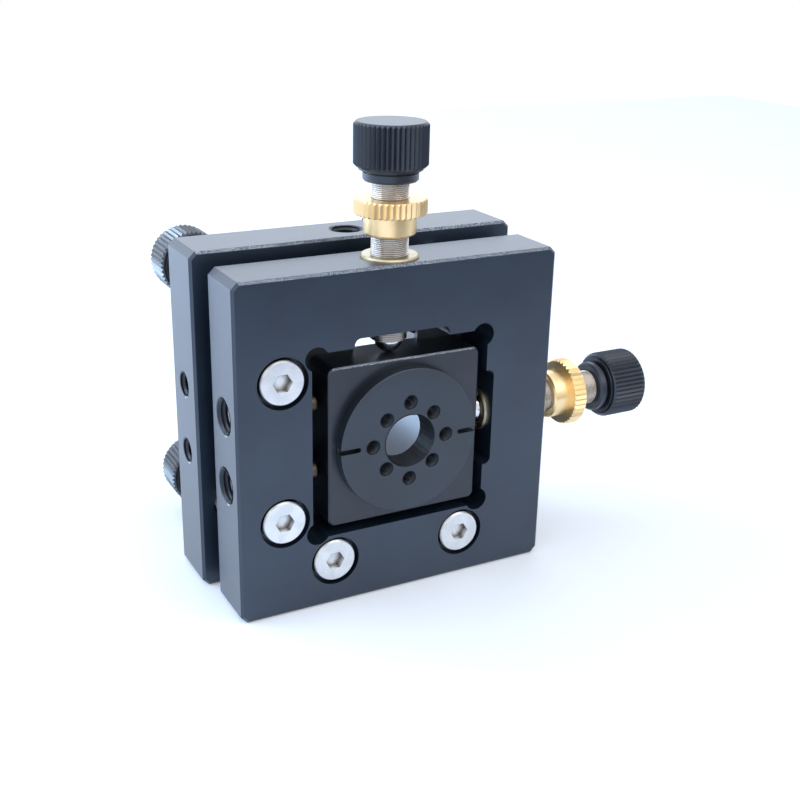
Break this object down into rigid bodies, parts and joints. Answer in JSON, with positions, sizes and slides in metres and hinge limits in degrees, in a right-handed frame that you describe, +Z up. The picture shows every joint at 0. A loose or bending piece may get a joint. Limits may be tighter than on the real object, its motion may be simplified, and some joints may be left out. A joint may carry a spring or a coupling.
{
  "type": "fibre alignment stage",
  "caption": "Kinematic fibre alignment stage: a post-mounted rear plate, a tilting front plate on fine adjusters, and a spring-loaded carriage with an adapter disc.",
  "frame": {"origin": "mouth of the tapped post hole in the middle of the rear plate's bottom face", "axes": "+Z up along the post hole, -Y out of the front plate's face, +X towards the sideways adjuster"},
  "size_m": [0.0844, 0.0499, 0.0822],
  "materials": {
    "plate_black": "black anodised, fine matt",
    "carriage_black": "black anodised, fine matt",
    "disc_black": "black anodised, turned",
    "knob_black": "black anodised, knurled",
    "brass": "turned, bright",
    "screw_steel": "stainless, turned",
    "bearing_steel": "hardened, polished",
    "spring_steel": "drawn wire",
    "pin_steel": "ground",
    "cap_steel": "stainless, satin"
  },
  "bodies": {
    "rear": {"rear_plate": "plate_black", "pivot_bushing": "brass", "pitch_bushing": "brass", "yaw_bushing": "brass", "upper_rear_anchor": "pin_steel", "lower_rear_anchor": "pin_steel", "upper_pull_spring": "spring_steel", "lower_pull_spring": "spring_steel"},
    "pivot_tip": {"pivot_pad": "bearing_steel"},
    "pivot_screw": {"pivot_screw": "screw_steel", "pivot_knob": "knob_black"},
    "pivot_nut": {"pivot_locknut": "brass"},
    "pivot_ball": {"pivot_ball": "bearing_steel"},
    "pitch_tip": {"pitch_ball": "bearing_steel"},
    "pitch_screw": {"pitch_screw": "screw_steel", "pitch_knob": "knob_black"},
    "pitch_nut": {"pitch_locknut": "brass"},
    "yaw_tip": {"yaw_ball": "bearing_steel"},
    "yaw_screw": {"yaw_screw": "screw_steel", "yaw_knob": "knob_black"},
    "yaw_nut": {"yaw_locknut": "brass"},
    "front": {"front_plate": "plate_black", "x_bushing": "brass", "z_bushing": "brass", "pivot_seat": "bearing_steel", "pitch_seat": "bearing_steel", "yaw_seat": "bearing_steel", "keeper_plate": "plate_black", "keeper_screw_1": "screw_steel", "keeper_screw_2": "screw_steel", "keeper_screw_3": "screw_steel", "keeper_screw_4": "screw_steel", "left_upper_cap": "cap_steel", "left_lower_cap": "cap_steel", "bottom_left_cap": "cap_steel", "bottom_right_cap": "cap_steel", "left_upper_spring": "spring_steel", "left_lower_spring": "spring_steel", "bottom_left_spring": "spring_steel", "bottom_right_spring": "spring_steel", "upper_front_anchor": "pin_steel", "lower_front_anchor": "pin_steel"},
    "x_tip": {"x_ball": "bearing_steel"},
    "x_screw": {"x_screw": "screw_steel", "x_knob": "knob_black"},
    "x_nut": {"x_locknut": "brass"},
    "z_tip": {"z_ball": "bearing_steel"},
    "z_screw": {"z_screw": "screw_steel", "z_knob": "knob_black"},
    "z_nut": {"z_locknut": "brass"},
    "x_slide": {"left_upper_pin": "pin_steel", "left_lower_pin": "pin_steel"},
    "carriage": {"carriage": "carriage_black", "adapter_disc": "disc_black"},
    "z_pins": {"bottom_left_pin": "pin_steel", "bottom_right_pin": "pin_steel"}
  },
  "joints": [
    {"name": "pivot_feed", "type": "slide", "parent": "rear", "child": "pivot_tip", "axis": [0, -1, 0], "range_m": [0, 0.0013]},
    {"name": "pivot_turn", "type": "hinge", "parent": "pivot_tip", "child": "pivot_screw", "pos_m": [-0.0214, 0.012, 0.05225], "axis": [0, -1, 0], "range_deg": [-11.3, 1485.4]},
    {"name": "pivot_lock", "type": "hinge", "parent": "pivot_screw", "child": "pivot_nut", "pos_m": [-0.0214, 0.012, 0.05225], "axis": [0, -1, 0], "range_deg": [-180, 180]},
    {"name": "pitch_feed", "type": "slide", "parent": "rear", "child": "pitch_tip", "axis": [0, -1, 0], "range_m": [-0.00128, 0.00128]},
    {"name": "pitch_turn", "type": "hinge", "parent": "pitch_tip", "child": "pitch_screw", "pos_m": [-0.0214, 0.012, 0.00925], "axis": [0, -1, 0], "range_deg": [-1458.1, 1458.1]},
    {"name": "pitch_lock", "type": "hinge", "parent": "pitch_screw", "child": "pitch_nut", "pos_m": [-0.0214, 0.012, 0.00925], "axis": [0, -1, 0], "range_deg": [-180, 180]},
    {"name": "yaw_feed", "type": "slide", "parent": "rear", "child": "yaw_tip", "axis": [0, -1, 0], "range_m": [-0.00127, 0.00127]},
    {"name": "yaw_turn", "type": "hinge", "parent": "yaw_tip", "child": "yaw_screw", "pos_m": [0.0214, 0.012, 0.05225], "axis": [0, -1, 0], "range_deg": [-1451.3, 1451.3]},
    {"name": "yaw_lock", "type": "hinge", "parent": "yaw_screw", "child": "yaw_nut", "pos_m": [0.0214, 0.012, 0.05225], "axis": [0, -1, 0], "range_deg": [-180, 180]},
    {"name": "x_feed", "type": "slide", "parent": "front", "child": "x_tip", "axis": [-1, 0, 0], "range_m": [-0.0008, 0.0023]},
    {"name": "x_turn", "type": "hinge", "parent": "x_tip", "child": "x_screw", "pos_m": [0.04, -0.01535, 0.03], "axis": [-1, 0, 0], "range_deg": [-918.4, 2619.2]},
    {"name": "x_lock", "type": "hinge", "parent": "x_screw", "child": "x_nut", "pos_m": [0.04, -0.01535, 0.03], "axis": [-1, 0, 0], "range_deg": [-180, 180]},
    {"name": "z_feed", "type": "slide", "parent": "front", "child": "z_tip", "axis": [0, 0, -1], "range_m": [-0.00315, 0.00085]},
    {"name": "z_turn", "type": "hinge", "parent": "z_tip", "child": "z_screw", "pos_m": [0.0008, -0.01535, 0.07], "axis": [0, 0, -1], "range_deg": [-3583, 975.1]},
    {"name": "z_lock", "type": "hinge", "parent": "z_screw", "child": "z_nut", "pos_m": [0.0008, -0.01535, 0.07], "axis": [0, 0, -1], "range_deg": [-180, 180]},
    {"name": "pitch_tilt", "type": "hinge", "parent": "pivot_tip", "child": "pivot_ball", "pos_m": [-0.0214, -0.00798, 0.05225], "axis": [-1, 0, 0], "range_deg": [-1.72, 1.72]},
    {"name": "yaw_tilt", "type": "hinge", "parent": "pivot_ball", "child": "front", "pos_m": [-0.0214, -0.00798, 0.05225], "axis": [0, 0, -1], "range_deg": [-1.72, 1.72], "deforming": ["upper_pull_spring", "lower_pull_spring"]},
    {"name": "x_shift", "type": "slide", "parent": "front", "child": "x_slide", "axis": [-1, 0, 0], "range_m": [-0.00081, 0.00231], "deforming": ["left_upper_spring", "left_lower_spring"]},
    {"name": "z_shift", "type": "slide", "parent": "x_slide", "child": "carriage", "axis": [0, 0, -1], "range_m": [-0.00316, 0.00086]},
    {"name": "z_follow", "type": "slide", "parent": "front", "child": "z_pins", "axis": [0, 0, -1], "range_m": [-0.00316, 0.00086], "deforming": ["bottom_left_spring", "bottom_right_spring"]}
  ],
  "couplings": [
    {"joint": "pivot_turn", "follows": "pivot_feed", "rad_per_m": 19790},
    {"joint": "pitch_turn", "follows": "pitch_feed", "rad_per_m": 19790},
    {"joint": "yaw_turn", "follows": "yaw_feed", "rad_per_m": 19790},
    {"joint": "x_turn", "follows": "x_feed", "rad_per_m": 19790},
    {"joint": "z_turn", "follows": "z_feed", "rad_per_m": 19790},
    {"joint": "pitch_tilt", "follows": "pitch_feed", "rad_per_m": 23.256},
    {"joint": "yaw_tilt", "follows": "yaw_feed", "rad_per_m": 23.364},
    {"joint": "x_shift", "follows": "x_feed", "ratio": 1},
    {"joint": "z_shift", "follows": "z_feed", "ratio": 1},
    {"joint": "z_follow", "follows": "z_feed", "ratio": 1}
  ]
}
